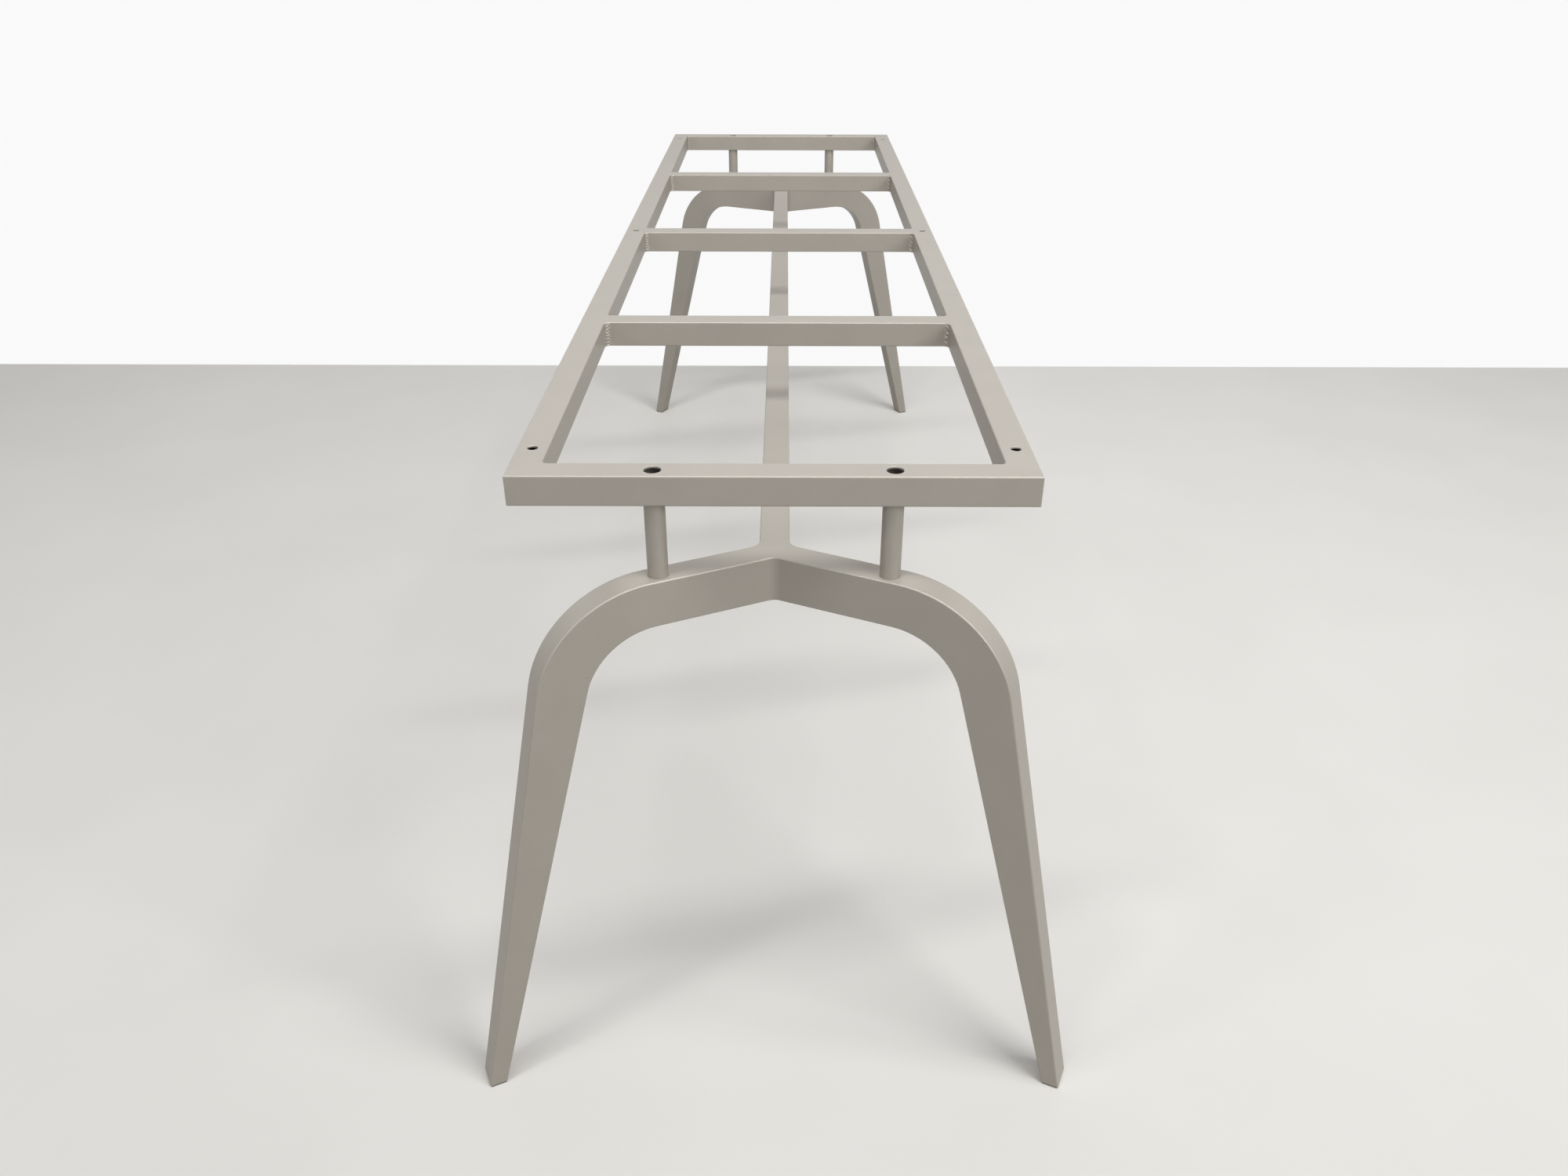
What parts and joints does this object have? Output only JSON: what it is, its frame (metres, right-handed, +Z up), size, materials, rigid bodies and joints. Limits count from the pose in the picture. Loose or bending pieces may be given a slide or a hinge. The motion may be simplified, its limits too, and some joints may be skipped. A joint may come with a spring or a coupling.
{
  "type": "table base",
  "caption": "Welded steel table base: wishbone legs with round knees on a spine, carrying a tube ladder frame on spacer posts, with holes to bolt on a table top.",
  "frame": {"origin": "floor level, under the middle of the base", "axes": "+Z up, +Y along the spine towards the rear leg pair, +X to the right seen from the front end"},
  "size_m": [0.6552, 2.0936, 0.7],
  "materials": {
    "powder_coat": "satin powder coat",
    "zinc_steel": "zinc plated",
    "black_glide": "matte"
  },
  "bodies": {
    "root": {"left_side_rail": "powder_coat", "right_side_rail": "powder_coat", "front_end_rail": "powder_coat", "rear_end_rail": "powder_coat", "front_cross_bar": "powder_coat", "middle_cross_bar": "powder_coat", "rear_cross_bar": "powder_coat", "spine": "powder_coat", "front_right_leg": "powder_coat", "front_left_leg": "powder_coat", "rear_right_leg": "powder_coat", "rear_left_leg": "powder_coat", "front_right_post": "powder_coat", "front_left_post": "powder_coat", "rear_right_post": "powder_coat", "rear_left_post": "powder_coat", "post_screws": "zinc_steel", "arm_nuts": "zinc_steel", "front_right_glide": "black_glide", "front_left_glide": "black_glide", "rear_right_glide": "black_glide", "rear_left_glide": "black_glide"}
  },
  "joints": []
}
